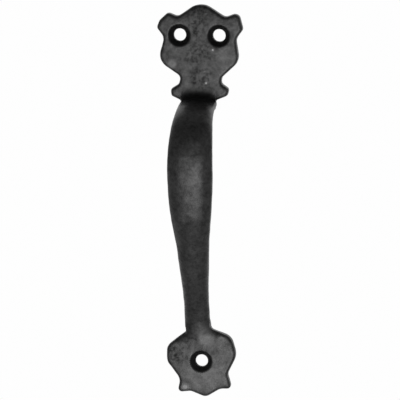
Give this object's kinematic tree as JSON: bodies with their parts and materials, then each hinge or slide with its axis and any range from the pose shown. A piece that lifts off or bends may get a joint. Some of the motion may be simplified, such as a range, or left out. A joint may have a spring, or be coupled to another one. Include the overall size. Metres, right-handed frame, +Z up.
{
  "type": "pull handle",
  "caption": "Bow pull handle in black iron, a leaf-shaped grip between decorative fixing plates, screwed to the face of a door, gate or window.",
  "frame": {"origin": "midway between the two upper wood-screw holes, on the plates' back face, which lies on the door", "axes": "+Z up along the handle, -Y out of the door towards the user, +X to the right for someone facing the handle"},
  "size_m": [0.0327, 0.0303, 0.1525],
  "materials": {
    "black_iron": "matt to satin black coating over a rough cast or hammered skin",
    "blackened_steel": "dark oiled steel, worn bright on the slots' edges"
  },
  "bodies": {
    "root": {"upper_plate": "black_iron", "lower_plate": "black_iron", "grip": "black_iron", "upper_grip_screws": "blackened_steel", "foot_rivet": "blackened_steel"}
  },
  "joints": []
}
